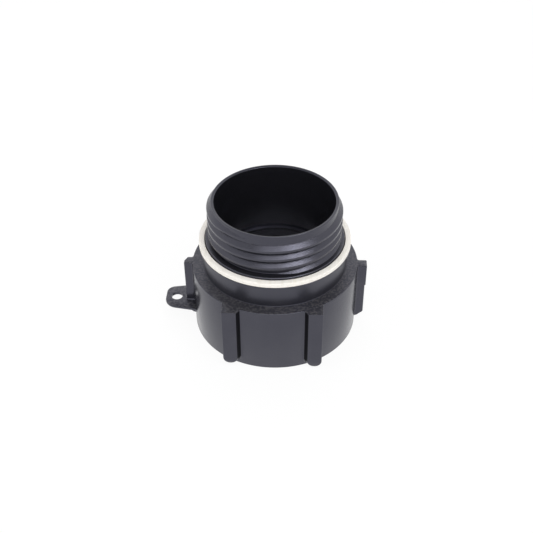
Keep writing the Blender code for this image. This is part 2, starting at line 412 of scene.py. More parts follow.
class RidgeTree(NodeGraph):
    """The Geometry Nodes tree that sweeps a thread's section along its helix.

    The ridge grows out of the wall at its start and sinks back at its end, and it stays under the lead-in
    cone. The section's corners are given as (outwards, downwards) from the wall.
    """

    def __init__(self) -> None:
        """Builds the tree."""
        super().__init__(bpy.data.node_groups.new("Thread ridge", "GeometryNodeTree"))
        self.tree.interface.new_socket("Geometry", in_out="OUTPUT", socket_type="NodeSocketGeometry")
        self.entry = self.tree.nodes.new("NodeGroupInput")
        self.identifiers: dict[str, str] = {}
        self.material = self.add_input("Material", "Material")
        self.finish(self.trimmed(self.placed(self.swept())))

    def add_input(self, name: str, kind: str = "Float") -> bpy.types.NodeSocket:
        """Adds a named input.

        Args:
            name: The input's name.
            kind: The socket's kind, such as Float, Int, Vector or Material.

        Returns:
            The socket that carries the input inside the tree.
        """
        item = self.tree.interface.new_socket(name, in_out="INPUT", socket_type=f"NodeSocket{kind}")
        self.identifiers[name] = item.identifier
        return self.entry.outputs[name]

    def section(self) -> bpy.types.NodeSocket:
        """Draws the ridge's section.

        Returns:
            The section's curve, with softened corners.
        """
        corners = {f"Point {i}": self.add_input(f"Corner {i}", "Vector") for i in (1, 2, 3, 4)}
        outline = self.add("GeometryNodeCurvePrimitiveQuadrilateral", corners, mode="POINTS").outputs[0]
        softening = {
            "Curve": outline,
            "Count": SECTION_CORNER_STEPS,
            "Radius": self.add_input("Corner Round"),
            "Limit Radius": True,
        }
        soft = self.add("GeometryNodeFilletCurve", softening, mode="POLY").outputs[0]
        return self.add("GeometryNodeSubdivideCurve", {"Curve": soft, "Cuts": SECTION_CUTS}).outputs[0]

    def swept(self) -> bpy.types.NodeSocket:
        """Sweeps the section along the helix, with a fade at each end.

        Returns:
            The ridge, with its start at zero height and angle.
        """
        base = self.add_input("Base Radius")
        turns = self.add_input("Turns")
        helix = self.add(
            "GeometryNodeCurveSpiral",
            {
                "Resolution": self.add_input("Steps A Turn", "Int"),
                "Rotations": turns,
                "Start Radius": base,
                "End Radius": base,
                "Height": self.math("MULTIPLY", self.add_input("Pitch"), turns),
                "Reverse": True,
            },
        )
        upright = self.add("GeometryNodeSetCurveNormal", {"Curve": helix.outputs[0]}, mode="Z_UP")
        along = self.add("GeometryNodeSplineParameter").outputs["Factor"]
        left = self.math("SUBTRACT", 1.0, along)
        rise = self.ramp(along, (0.0, self.add_input("Fade In")), (RIDGE_TIP, 1.0))
        fall = self.ramp(left, (0.0, self.add_input("Fade Out")), (RIDGE_TIP, 1.0))
        sweep = {
            "Curve": upright.outputs[0],
            "Profile Curve": self.section(),
            "Scale": self.math("MINIMUM", rise, fall),
            "Fill Caps": True,
        }
        return self.add("GeometryNodeCurveToMesh", sweep).outputs[0]

    def placed(self, ridge: bpy.types.NodeSocket) -> bpy.types.NodeSocket:
        """Turns and lifts the ridge to its start.

        Args:
            ridge: The ridge, with its start at zero height and angle.

        Returns:
            The ridge round the origin.
        """
        turn = self.add("ShaderNodeCombineXYZ", {"Z": self.add_input("Start Angle")}).outputs[0]
        lift = self.add("ShaderNodeCombineXYZ", {"Z": self.add_input("Start Height")}).outputs[0]
        move = {"Geometry": ridge, "Translation": lift, "Rotation": turn}
        return self.add("GeometryNodeTransform", move).outputs[0]

    def trimmed(self, ridge: bpy.types.NodeSocket) -> bpy.types.NodeSocket:
        """Keeps the ridge under the lead-in cone, and moves it to the thread axis.

        Args:
            ridge: The ridge round the origin.

        Returns:
            The ridge in its place.
        """
        top = self.add_input("Cone Top")
        position = self.add("GeometryNodeInputPosition").outputs[0]
        x, y, z = self.add("ShaderNodeSeparateXYZ", {0: position}).outputs
        square = self.math("ADD", self.math("MULTIPLY", x, x), self.math("MULTIPLY", y, y))
        radius = self.math("SQRT", square)
        low = self.math("MINIMUM", z, top)
        spread = self.math("MULTIPLY", self.math("SUBTRACT", top, low), self.add_input("Cone Slope"))
        limit = self.math("ADD", self.add_input("Cone Radius"), spread)
        shrink = self.math("DIVIDE", self.math("MINIMUM", radius, limit), radius)
        spot = {
            "X": self.math("ADD", self.math("MULTIPLY", x, shrink), self.add_input("Axis X")),
            "Y": self.math("MULTIPLY", y, shrink),
            "Z": low,
        }
        place = self.add("ShaderNodeCombineXYZ", spot).outputs[0]
        return self.add("GeometryNodeSetPosition", {"Geometry": ridge, "Position": place}).outputs[0]

    def finish(self, geometry: bpy.types.NodeSocket) -> None:
        """Ends the tree in Realize Instances and Set Material.

        Args:
            geometry: The geometry to hand out.
        """
        real = self.add("GeometryNodeRealizeInstances", {"Geometry": geometry}).outputs[0]
        dressed = self.add("GeometryNodeSetMaterial", {"Geometry": real, "Material": self.material})
        self.put(dressed.outputs[0], self.tree.nodes.new("NodeGroupOutput").inputs[0])

    def bake(self, name: str, values: dict[str, object], sharp: float) -> bpy.types.Object:
        """Runs the tree once and keeps the result as a plain mesh.

        Args:
            name: The new object's name.
            values: A value for each named input.
            sharp: Edges that turn more than this many degrees stay sharp.

        Returns:
            An object with no modifier.
        """
        seed = bpy.data.objects.new(f"{name}_seed", bpy.data.meshes.new(f"{name}_seed"))
        bpy.context.scene.collection.objects.link(seed)
        modifier = seed.modifiers.new("Thread ridge", "NODES")
        modifier.node_group = self.tree
        for key, value in values.items():
            modifier[self.identifiers[key]] = value
        graph = bpy.context.evaluated_depsgraph_get()
        mesh = bpy.data.meshes.new_from_object(seed.evaluated_get(graph))
        bpy.data.objects.remove(seed, do_unlink=True)
        return make_object(name, mesh, sharp)


# Finishes


class Surface(NodeGraph):
    """A material under construction, on Object coordinates."""

    def __init__(self, name: str) -> None:
        """Starts a material with that name and a Principled BSDF."""
        self.material = bpy.data.materials.new(name)
        self.material.use_nodes = True
        super().__init__(self.material.node_tree)
        self.shader = self.tree.nodes["Principled BSDF"]
        self.place = self.tree.nodes.new("ShaderNodeTexCoord")

    def paint(self, **values: object) -> None:
        """Links or sets inputs of the shader, named with an underscore for each space."""
        for key, value in values.items():
            self.put(value, self.shader.inputs[key.replace("_", " ")])

    def noise(
        self, grain: float, detail: float = 2.0, stretch: Point3 = (1.0, 1.0, 1.0), turn: float = 0.0
    ) -> bpy.types.NodeSocket:
        """Adds a noise on the Object coordinates.

        Args:
            grain: The pattern's size, in metres.
            detail: The noise's detail.
            stretch: How much finer the pattern is along each axis.
            turn: How far the pattern is turned round Z, in degrees.

        Returns:
            The noise's factor.
        """
        rotation = (0.0, 0.0, math.radians(turn))
        layout = {"Vector": self.place.outputs["Object"], "Scale": stretch, "Rotation": rotation}
        mapping = self.add("ShaderNodeMapping", layout).outputs[0]
        pattern = {"Vector": mapping, "Scale": 1.0 / grain, "Detail": detail}
        return self.add("ShaderNodeTexNoise", pattern).outputs["Fac"]

    def blend(self, share: object, first: Colour, second: Colour) -> bpy.types.NodeSocket:
        """Mixes two colours.

        Args:
            share: The second colour's share.
            first: The first colour.
            second: The second colour.

        Returns:
            The mixed colour.
        """
        inputs = {0: share, 6: (*first, 1.0), 7: (*second, 1.0)}
        return self.add("ShaderNodeMix", inputs, data_type="RGBA").outputs[2]

    def bump(
        self, height: object, depth: float, normal: bpy.types.NodeSocket | None = None
    ) -> bpy.types.NodeSocket:
        """Adds a bump.

        Args:
            height: The height, from 0 to 1.
            depth: What a height of 1 stands for, in metres.
            normal: The normal to build on.

        Returns:
            The bumped normal.
        """
        node = self.add("ShaderNodeBump", {"Height": height, "Distance": depth, "Strength": 1.0})
        if normal is not None:
            self.put(normal, node.inputs["Normal"])
        return node.outputs[0]


@dataclass(frozen=True)
class MouldedPlastic:
    """Black moulded plastic: satin on the walls, coarser and duller on the faces across the mould's draw."""

    name: str = "black_moulded_plastic"
    colour: Colour = (0.0095, 0.0097, 0.0120)
    dust: Colour = (0.055, 0.053, 0.055)
    roughness: float = 0.22
    rough_face: float = 0.36
    specular: float = 0.92
    tint: Colour = (0.80, 0.80, 1.0)
    across_from: Range = (0.75, 0.97)
    fine_grain: float = 0.42 * MM
    fine_depth: float = 0.006 * MM
    face_grain: float = 0.9 * MM
    face_depth: float = 0.08 * MM
    face_detail: float = 4.0
    patches: Range = (0.44, 0.62)
    stipple: float = 0.4 * MM
    stipple_depth: float = 0.0
    detail: float = 3.0
    flow: float = 9.0 * MM
    flow_range: Range = (0.35, 0.7)
    flow_dust: float = 0.12
    flow_gloss: float = 0.10

    def build(self) -> bpy.types.Material:
        """Builds the material.

        Returns:
            The finished material.
        """
        nodes = Surface(self.name)
        up = nodes.add("ShaderNodeSeparateXYZ", {0: nodes.place.outputs["Normal"]}).outputs["Z"]
        across = nodes.ramp(up, self.across_from)
        coarse = nodes.noise(self.face_grain, self.face_detail)
        drift = nodes.noise(self.flow, self.detail)
        dusty = nodes.math("MULTIPLY", across, nodes.ramp(coarse, self.patches))
        clouded = nodes.math("MULTIPLY", nodes.ramp(drift, self.flow_range), self.flow_dust)
        dust = nodes.math("ADD", dusty, clouded, clamp=True)
        duller = nodes.math("MULTIPLY", across, self.rough_face - self.roughness)
        uneven = nodes.math("MULTIPLY", nodes.math("SUBTRACT", drift, 0.5), self.flow_gloss)
        relief = nodes.bump(nodes.noise(self.fine_grain), self.fine_depth)
        if self.stipple_depth:
            relief = nodes.bump(nodes.noise(self.stipple, self.detail), self.stipple_depth, relief)
        nodes.paint(
            Base_Color=nodes.blend(dust, self.colour, self.dust),
            Roughness=nodes.math("ADD", nodes.math("ADD", duller, self.roughness), uneven),
            Specular_IOR_Level=self.specular,
            Specular_Tint=(*self.tint, 1.0),
            Normal=nodes.bump(nodes.math("MULTIPLY", coarse, across), self.face_depth, relief),
        )
        return nodes.material


@dataclass(frozen=True)
class SheetGasket:
    """Soft sheet, cut to a ring, with faint slanting streaks."""

    name: str = "cream_gasket_sheet"
    colour: Colour = (0.885, 0.855, 0.805)
    streak: Colour = (0.82, 0.78, 0.71)
    roughness: float = 0.7
    specular: float = 0.35
    streak_width: float = 1.1 * MM
    streak_stretch: Point3 = (1.0, 0.12, 1.0)
    streak_turn: float = 35.0
    streak_range: Range = (0.46, 0.68)
    streak_share: float = 0.7
    streak_height: float = 0.8
    grain: float = 0.3 * MM
    depth: float = 0.02 * MM

    def build(self) -> bpy.types.Material:
        """Builds the material.

        Returns:
            The finished material.
        """
        nodes = Surface(self.name)
        streaks = nodes.noise(self.streak_width, stretch=self.streak_stretch, turn=self.streak_turn)
        share = nodes.math("MULTIPLY", nodes.ramp(streaks, self.streak_range), self.streak_share)
        ribs = nodes.math("MULTIPLY", streaks, self.streak_height)
        nodes.paint(
            Base_Color=nodes.blend(share, self.colour, self.streak),
            Roughness=self.roughness,
            Specular_IOR_Level=self.specular,
            Normal=nodes.bump(nodes.math("ADD", nodes.noise(self.grain), ribs), self.depth),
        )
        return nodes.material


# Sub-assemblies


@dataclass
class Shell:
    """The turned wall of the moulding: collar, neck, boss, spigot, bore and socket."""

    plastic: bpy.types.Material
    dull: bpy.types.Material
    clean: bpy.types.Material
    steps: int = 288
    sharp: float = 40.0
    near: float = 0.1 * MM
    collar_r: float = COLLAR_R
    collar_top: float = 29.5 * MM
    collar_edge: float = 0.3 * MM
    foot_edge: float = 0.12 * MM
    neck_foot_r: float = 30.1 * MM
    neck_head_r: float = 31.5 * MM
    neck_fillet: float = 0.3 * MM
    shoulder_z: float = 40.0 * MM
    shoulder_edge: float = 0.2 * MM
    boss_r: float = 29.0 * MM
    boss_top: float = 42.95 * MM
    boss_fillet: float = 0.1 * MM
    boss_edge: float = 0.45 * MM
    spigot_r: float = SPIGOT_R
    spigot_top: float = SPIGOT_TOP
    spigot_fillet: float = 0.25 * MM
    bore_r: float = 24.7 * MM
    rim_edge: float = 0.2 * MM
    rim_fall: float = 0.4 * MM
    ledge_width: float = 1.5 * MM
    ledge_edge: float = 0.02 * MM
    socket_r: float = SOCKET_R
    socket_depth: float = 25.0 * MM
    socket_fillet: float = 0.3 * MM
    mouth: float = 1.2 * MM
    mouth_edge: float = 0.15 * MM
    mouth_root: float = 0.2 * MM

    def profile(self) -> list[Point]:
        """The wall's section.

        Returns:
            The section as (radius, height), from the socket's mouth up the outside and down the inside.
        """
        return rounded(
            [
                (self.socket_r + self.mouth, 0.0, self.mouth_edge),
                (self.collar_r, 0.0, self.foot_edge),
                (self.collar_r, self.collar_top, self.collar_edge),
                (self.neck_foot_r, self.collar_top, self.neck_fillet),
                (self.neck_head_r, self.shoulder_z, self.shoulder_edge),
                (self.boss_r, self.shoulder_z, self.boss_fillet),
                (self.boss_r, self.boss_top, self.boss_edge),
                (self.spigot_r, self.boss_top, self.spigot_fillet),
                (self.spigot_r, self.spigot_top, self.rim_edge),
                (self.bore_r, self.spigot_top - self.rim_fall, self.rim_edge),
                (self.bore_r, self.collar_top, 0.0),
                (self.bore_r - self.ledge_width, self.collar_top, self.ledge_edge),
                (self.bore_r - self.ledge_width, self.socket_depth, self.ledge_edge),
                (self.socket_r, self.socket_depth, self.socket_fillet),
                (self.socket_r, self.mouth, self.mouth_root),
            ]
        )

    def finish_number(self, centre: Vector) -> int:
        """Chooses a face's finish.

        Args:
            centre: The face's middle.

        Returns:
            2 on the spigot, the bore above the boss and the ledge, 1 on the neck and collar top, or else 0.
        """
        outside = math.hypot(centre.x - AXIS_X, centre.y) > self.boss_r
        ledge = not outside and abs(centre.z - self.collar_top) < 2.0 * self.near
        if centre.z > self.boss_top or ledge:
            return 2
        return int(outside and self.collar_top - self.near < centre.z < self.shoulder_z)

    def build(self) -> bpy.types.Object:
        """Turns and dresses the wall."""
        wall = turned("moulded_wall", self.profile(), self.steps, self.sharp)
        for face in wall.data.polygons:
            face.material_index = self.finish_number(face.center)
        return hand_over(wall, Solid.MOULDING, Slot.PLASTIC, self.plastic, self.dull, self.clean)


@dataclass(frozen=True)
class Ridge:
    """One helical ridge, with lengths in metres and angles in degrees from the front.

    The section's heights are measured downwards from the reference that start_z places at the front. The base
    is moved by sink, outwards into the socket's wall or, where it is negative, inwards into the spigot's.
    """

    name: str
    wall_r: float
    sink: float
    crest_r: float
    crest_low: float
    crest: float
    below: float
    above: float
    corner: float
    pitch: float
    start_z: float
    start: float
    end: float
    fade_in: float
    fade_out: float

    def section(self) -> dict[str, Point3]:
        """The section's corners as (outwards, downwards), by input name."""
        height = self.crest_r - self.wall_r - self.sink
        crest_high = self.crest_low - self.crest
        return {
            "Corner 1": (0.0, self.crest_low + self.below, 0.0),
            "Corner 2": (height, self.crest_low, 0.0),
            "Corner 3": (height, crest_high, 0.0),
            "Corner 4": (0.0, crest_high - self.above, 0.0),
        }


MALE_RIDGE = Ridge(
    name="male_thread",
    wall_r=SPIGOT_R,
    sink=-0.15 * MM,
    crest_r=27.75 * MM,
    crest_low=0.0,
    crest=1.0 * MM,
    below=0.3 * MM,
    above=1.72 * MM,
    corner=0.08 * MM,
    pitch=4.0 * MM,
    start_z=42.05 * MM,
    start=-37.5,
    end=1432.5,
    fade_in=95.0,
    fade_out=55.0,
)
FEMALE_RIDGE = Ridge(
    name="socket_thread",
    wall_r=SOCKET_R,
    sink=0.15 * MM,
    crest_r=27.9 * MM,
    crest_low=0.8 * MM,
    crest=1.6 * MM,
    below=1.0 * MM,
    above=1.0 * MM,
    corner=0.25 * MM,
    pitch=6.0 * MM,
    start_z=4.0 * MM,
    start=2.5,
    end=947.5,
    fade_in=70.0,
    fade_out=70.0,
)
NO_CONE = {"Cone Top": 1.0, "Cone Radius": 1.0, "Cone Slope": 0.0}


@dataclass
class Threads:
    """The two helical ridges of the moulding, and the cone that leads the outer one in."""

    plastic: bpy.types.Material
    male: Ridge = MALE_RIDGE
    female: Ridge = FEMALE_RIDGE
    steps: int = 144
    sharp: float = 50.0
    rim_gap: float = 0.02 * MM
    top_gap: float = 0.12 * MM
    spigot_top: float = SPIGOT_TOP
    lead_in: float = 2.6 * MM

    def cone(self) -> dict[str, float]:
        """The spigot's lead-in cone, by input name."""
        return {
            "Cone Top": self.spigot_top - self.top_gap,
            "Cone Radius": self.male.wall_r - self.rim_gap,
            "Cone Slope": (self.male.crest_r - self.male.wall_r) / self.lead_in,
        }

    def build_ridge(self, tree: RidgeTree, ridge: Ridge, cone: dict[str, float]) -> bpy.types.Object:
        """Sweeps and dresses one ridge.

        Args:
            tree: The ridge tree.
            ridge: The ridge's sizes.
            cone: The cone that trims it, by input name.

        Returns:
            The finished piece.
        """
        span = ridge.end - ridge.start
        values = ridge.section() | cone | {
            "Base Radius": ridge.wall_r + ridge.sink,
            "Pitch": ridge.pitch,
            "Turns": span / 360.0,
            "Steps A Turn": self.steps,
            "Start Height": ridge.start_z + ridge.pitch * ridge.start / 360.0,
            "Start Angle": math.radians(ridge.start - 90.0),
            "Fade In": ridge.fade_in / span,
            "Fade Out": ridge.fade_out / span,
            "Corner Round": ridge.corner,
            "Axis X": AXIS_X,
            "Material": self.plastic,
        }
        return hand_over(tree.bake(ridge.name, values, self.sharp), Solid.MOULDING, Slot.PLASTIC)

    def build(self) -> list[bpy.types.Object]:
        """Builds both ridges."""
        tree = RidgeTree()
        return [self.build_ridge(tree, self.male, self.cone()), self.build_ridge(tree, self.female, NO_CONE)]


@dataclass(frozen=True)
class Level:
    """One height of a lug: how far its two sides and its outer face stand back there."""

    height: float
    sides: float
    face: float


@dataclass
class Lugs:
    """The grip lugs: two pairs with a slanted inner flank, and one straight lug on each side."""

    plastic: bpy.types.Material
    # Near-black copy of the plastic that paints shade on the corner lugs' inner flanks.
    painted_shade: bpy.types.Material
    wall_r: float = COLLAR_R
    inside: float = 1.5 * MM
    top: float = 29.47 * MM
    top_edge: float = 0.2 * MM
    corner: float = 0.35 * MM
    arc_steps: int = 9
    face_y: float = 34.6 * MM
    in_x: float = 14.4 * MM
    width: float = 5.9 * MM
    slant: float = 1.6 * MM
    slant_back: float = 2.14 * MM
    left_foot: float = 1.9 * MM
    right_foot: float = 0.8 * MM
    foot_round: float = 2.93 * MM
    foot_edge: float = 0.25 * MM
    foot_edge_fall: float = 1.5
    outer_fillet: float = 0.3 * MM
    inner_fillet: float = 1.2 * MM
    inner_steps: int = 8
    # Faces of a corner lug turned this far inwards get the painted shade.
    painted_shade_from: float = 0.42
    upright: float = 0.1
    side_r: float = 38.9 * MM
    side_width: float = 4.4 * MM
    side_y: float = EAR_Y
    side_fillet: float = 0.9 * MM
    side_root: float = 0.7 * MM
    side_foot: float = 2.1 * MM
    side_foot_edge: float = 0.15 * MM
    side_foot_rise: float = 0.1 * MM
    side_slant: float = 2.1 * MM
    knee_drop: float = 0.3 * MM
    knee_back: float = 0.5 * MM
    knee_edge: float = 0.15 * MM
    knee_rise: float = 0.4 * MM
    side_step: float = 0.4 * MM
    side_step_z: float = 19.0 * MM
    side_step_rise: float = 0.4 * MM
    chamfer_in: float = 1.2 * MM
    chamfer_along: float = 2.4 * MM
    chamfer_edge: float = 0.3 * MM
    ear_top: float = EAR_TOP
    ear_root: float = 0.7 * MM
    ear_sink: float = 0.5 * MM
    ear_spread: float = 0.1 * MM
    root_steps: int = 5

    def top_levels(self, back: float = 0.0) -> list[Level]:
        """The softened edge round a lug's top.

        Args:
            back: How far the lug's outer face stands back.

        Returns:
            The last three levels.
        """
        edge = self.top_edge
        soft = SOFT_SHARE * edge
        return [
            Level(self.top - edge, 0.0, back),
            Level(self.top - soft, soft, soft + back),
            Level(self.top, edge, edge + back),
        ]

    def corner_levels(self, foot: float) -> list[Level]:
        """A corner lug's levels, with its half-round foot.

        Args:
            foot: The height of the lug's lowest point.

        Returns:
            The levels, from the foot to the top.
        """
        result = []
        for k in range(self.arc_steps + 1):
            angle = math.radians(90.0 * k / self.arc_steps)
            face = self.foot_edge * max(1.0 - self.foot_edge_fall * k / self.arc_steps, 0.0) ** 2
            height = foot + self.foot_round * (1.0 - math.cos(angle))
            result.append(Level(height, self.foot_round * (1.0 - math.sin(angle)), face))
        return result + self.top_levels()

    def ear_root_levels(self) -> list[Level]:
        """The left lug's hollow flare, where it stands on the ear.

        Returns:
            The levels, from inside the ear to the lug's plain sides.
        """
        start = self.ear_top - self.ear_sink
        result = [
            Level(start, 0.0, self.side_step),
            Level(start + self.ear_spread, -self.ear_root, self.side_step - self.ear_root),
        ]
        for k in range(self.root_steps + 1):
            angle = math.radians(90.0 * k / self.root_steps)
            proud = self.ear_root * (1.0 - math.sin(angle))
            height = self.ear_top + self.ear_root * (1.0 - math.cos(angle))
            result.append(Level(height, -proud, self.side_step - proud))
        return result

    def side_foot_levels(self) -> list[Level]:
        """A side lug's slanting foot, which ends in a soft knee.

        Returns:
            The levels, from the foot to the knee.
        """
        reach = self.side_r - self.side_root - self.wall_r
        knee = self.side_foot + self.side_slant
        return [
            Level(self.side_foot, self.side_foot_edge, reach),
            Level(self.side_foot + self.side_foot_rise, 0.0, reach - self.side_foot_edge),
            Level(knee - self.knee_drop, 0.0, self.side_step + self.knee_back),
            Level(knee, 0.0, self.side_step + self.knee_edge),
            Level(knee + self.knee_rise, 0.0, self.side_step),
        ]

    def side_levels(self, side: Side) -> list[Level]:
        """A side lug's levels: the right one steps out, and the left one stands on the ear.

        Args:
            side: Which side of the part the lug is on.

        Returns:
            The levels, from the foot to the top.
        """
        if side is Side.LEFT:
            return [*self.side_foot_levels(), *self.ear_root_levels(), *self.top_levels(self.side_step)]
        step = [
            Level(self.side_step_z, 0.0, self.side_step),
            Level(self.side_step_z + self.side_step_rise, 0.0, 0.0),
        ]
        return [*self.side_foot_levels(), *step, *self.top_levels()]

    def corner_outline(self, level: Level) -> list[Point]:
        """The front left lug's outline at one level, seen from above.

        Args:
            level: The level.

        Returns:
            The outline's points.
        """
        face = -self.face_y + level.face
        out_x = -self.in_x - self.width + level.sides
        in_x = -self.in_x - level.sides
        flank = (-self.slant, -self.slant_back)
        outer = wall_fillet((out_x, face), (0.0, -1.0), self.wall_r, self.outer_fillet, -1.0)
        inner = wall_fillet((in_x, face), flank, self.wall_r, self.inner_fillet, 1.0, self.inner_steps)
        corners = [(out_x, face, self.corner), (in_x, face, self.corner)]
        return on_wall(outer, corners, inner, 1.0 - self.inside / self.wall_r)

    def side_outline(self, level: Level, side: Side) -> list[Point]:
        """A side lug's outline at one level, seen from above.

        Args:
            level: The level.
            side: Which side of the part the lug is on.

        Returns:
            The outline's points.
        """
        face = -self.side_r + level.face
        half = self.side_width / 2 - level.sides
        front = self.side_y - half
        back = self.side_y + half
        low = wall_fillet((face, front), (-1.0, 0.0), self.wall_r, self.side_fillet, 1.0)
        high = wall_fillet((face, back), (-1.0, 0.0), self.wall_r, self.side_fillet, -1.0)
        corners = [(face, front, self.corner), (face, back, self.corner)]
        if side is Side.LEFT:
            corners[1:] = [
                (face, back - self.chamfer_along, self.chamfer_edge),
                (face + self.chamfer_in, back, self.chamfer_edge),
            ]
        outline = on_wall(low, corners, high, 1.0 - self.inside / self.wall_r)
        return [(x * -side.value, y) for x, y in outline]

    def build_corner(self, name: str, across: float, along: float, foot: float) -> bpy.types.Object:
        """Builds and dresses a corner lug, with painted shade on its inner flank: a near-black, barely shiny
        copy of the plastic.

        Args:
            name: The piece's name.
            across: 1 on the left and -1 on the right.
            along: 1 at the front and -1 at the back.
            foot: The height of the lug's lowest point.

        Returns:
            The finished piece.
        """
        rings = [
            ([(x * across, y * along) for x, y in self.corner_outline(level)], level.height)
            for level in self.corner_levels(foot)
        ]
        piece = lofted(name, rings)
        # Painted shade: the upright inner-flank faces get the near-black copy of the plastic.
        for face in piece.data.polygons:
            inward = face.normal.x * across > self.painted_shade_from
            face.material_index = int(inward and abs(face.normal.z) < self.upright)
        return hand_over(piece, Solid.MOULDING, Slot.PLASTIC, self.plastic, self.painted_shade)

    def build_side(self, name: str, side: Side) -> bpy.types.Object:
        """Builds and dresses a side lug.

        Args:
            name: The piece's name.
            side: Which side of the part the lug is on.

        Returns:
            The finished piece.
        """
        rings = [(self.side_outline(level, side), level.height) for level in self.side_levels(side)]
        return hand_over(lofted(name, rings), Solid.MOULDING, Slot.PLASTIC, self.plastic)

    def build(self) -> list[bpy.types.Object]:
        """Builds all lugs."""
        return [
            self.build_corner("front_left_lug", 1.0, 1.0, self.left_foot),
            self.build_corner("front_right_lug", -1.0, 1.0, self.right_foot),
            self.build_corner("back_left_lug", 1.0, -1.0, self.left_foot),
            self.build_corner("back_right_lug", -1.0, -1.0, self.right_foot),
            self.build_side("left_lug", Side.LEFT),
            self.build_side("right_lug", Side.RIGHT),
        ]


@dataclass
class TetherEar:
    """The flat ear with its hole, at the foot of the left lug."""

    plastic: bpy.types.Material
    wall_r: float = COLLAR_R
    root_depth: float = 0.96
    tip_x: float = 47.8 * MM
    hole_x: float = 43.0 * MM
    hole_d: float = 4.8 * MM
    hole_steps: int = 40
    hole_reach: float = 2.0 * MM
    middle_y: float = EAR_Y
    half_tip: float = 6.0 * MM
    half_root: float = 8.4 * MM
    back_corner: float = 3.6 * MM
    front_corner: float = 5.4 * MM
    corner_steps: int = 8
    flare: float = 2.6 * MM
    top: float = EAR_TOP
    thickness: float = 1.2 * MM
    edge: float = 0.25 * MM

    def outline(self, inset: float) -> list[Point]:
        """The ear's outline, seen from above.

        Args:
            inset: How far the edge is drawn in, in metres.

        Returns:
            The outline's points.
        """
        tip = -self.tip_x + inset
        half_tip = self.half_tip - inset
        half_root = self.half_root - inset
        root_x = -math.sqrt(self.wall_r**2 - self.half_root**2)
        out, narrower = tip - root_x, half_tip - half_root
        upper_root = (root_x, self.middle_y + half_root)
        lower_root = (root_x, self.middle_y - half_root)
        upper = wall_fillet(upper_root, (out, narrower), self.wall_r, self.flare, -1.0)
        lower = wall_fillet(lower_root, (out, -narrower), self.wall_r, self.flare, 1.0)
        corners = [
            (tip, self.middle_y + half_tip, self.back_corner),
            (tip, self.middle_y - half_tip, self.front_corner),
        ]
        return on_wall(upper, corners, lower, self.root_depth, self.corner_steps)

    def drill(self, ear: bpy.types.Object, low: float, high: float) -> None:
        """Cuts the hole.

        Args:
            ear: The plain ear.
            low: The ear's lower face.
            high: Its upper face.
        """
        last = 360.0 - 360.0 / self.hole_steps
        circle = arc((-self.hole_x, self.middle_y), self.hole_d / 2, 0.0, last, self.hole_steps - 1)
        cutter = lofted("ear_drill", [(circle, low - self.hole_reach), (circle, high + self.hole_reach)])
        cut = ear.modifiers.new("Hole", "BOOLEAN")
        cut.object = cutter
        cut.operation = "DIFFERENCE"
        cut.solver = "EXACT"
        graph = bpy.context.evaluated_depsgraph_get()
        mesh = bpy.data.meshes.new_from_object(ear.evaluated_get(graph))
        ear.modifiers.clear()
        ear.data = mesh
        bpy.data.objects.remove(cutter, do_unlink=True)
        shade(mesh, SOFT_TURN)

    def build(self) -> bpy.types.Object:
        """Builds and dresses the ear.

        Returns:
            The finished piece.
        """
        bottom = self.top - self.thickness
        soft = SOFT_SHARE * self.edge
        rings = [
            (self.outline(self.edge), bottom),
            (self.outline(soft), bottom + soft),
            (self.outline(0.0), bottom + self.edge),
            (self.outline(0.0), self.top - self.edge),
            (self.outline(soft), self.top - soft),
            (self.outline(self.edge), self.top),
        ]
        ear = lofted("tether_ear", rings)
        self.drill(ear, bottom, self.top)
        return hand_over(ear, Solid.MOULDING, Slot.PLASTIC, self.plastic)


@dataclass(frozen=True)
class Ring:
    """The radii of a flat ring, and the heights of its two faces."""

    in_r: float
    out_r: float
    low: float
    high: float


@dataclass
class Gaskets:
    """The flange gasket and the socket's seal."""

    sheet: bpy.types.Material
    seal: bpy.types.Material
    steps: int = 288
    sharp: float = 60.0
    edge: float = 0.18 * MM
    edge_steps: int = 3
    flange_ring: Ring = Ring(29.3 * MM, 31.6 * MM, 40.3 * MM, 42.35 * MM)
    socket_ring: Ring = Ring(25.0 * MM, 27.4 * MM, 22.7 * MM, 24.7 * MM)

    def turn_ring(self, name: str, ring: Ring) -> bpy.types.Object:
        """Turns one flat ring.

        Args:
            name: The piece's name.
            ring: The ring's sizes.

        Returns:
            The plain ring.
        """
        low, high = ring.low, ring.high
        corners = [(ring.in_r, low), (ring.out_r, low), (ring.out_r, high), (ring.in_r, high)]
        profile = rounded([(*corner, self.edge) for corner in corners], self.edge_steps)
        return turned(name, profile, self.steps, self.sharp)

    def build(self) -> list[bpy.types.Object]:
        """Builds both rings."""
        flange = self.turn_ring("flange_gasket_ring", self.flange_ring)
        hand_over(flange, Solid.GASKET, Slot.GASKET, self.sheet)
        socket = self.turn_ring("socket_seal_ring", self.socket_ring)
        hand_over(socket, Solid.SEAL, Slot.SEAL, self.seal)
        return [flange, socket]


# Studio


def away_from_part(turn: float, height: float) -> Vector:
    """A direction away from the part, from its turn to the right of the front and its elevation."""
    a, e = math.radians(turn), math.radians(height)
    return Vector((math.cos(e) * math.sin(a), -math.cos(e) * math.cos(a), math.sin(e)))


def looking_back(away: Vector) -> Matrix:
    """The rotation of a camera or lamp that looks back along a direction."""
    return (-away).to_track_quat("-Z", "Y").to_matrix().to_4x4()


@dataclass(frozen=True)
class Lamp:
    """A square soft lamp, with its direction in degrees, lengths in metres and power in watts."""

    name: str
    turn: float
    height: float
    distance: float
    size: float
    power: float
    mirrored: bool = True

    def build(self, aim: Vector) -> None:
        """Places the lamp, facing a point.

        Args:
            aim: The point.
        """
        data = bpy.data.lights.new(self.name, "AREA")
        data.energy = self.power
        data.size = self.size
        lamp = bpy.data.objects.new(self.name, data)
        lamp.visible_glossy = self.mirrored
        away = away_from_part(self.turn, self.height)
        lamp.matrix_world = Matrix.Translation(aim + away * self.distance) @ looking_back(away)
        bpy.context.scene.collection.objects.link(lamp)


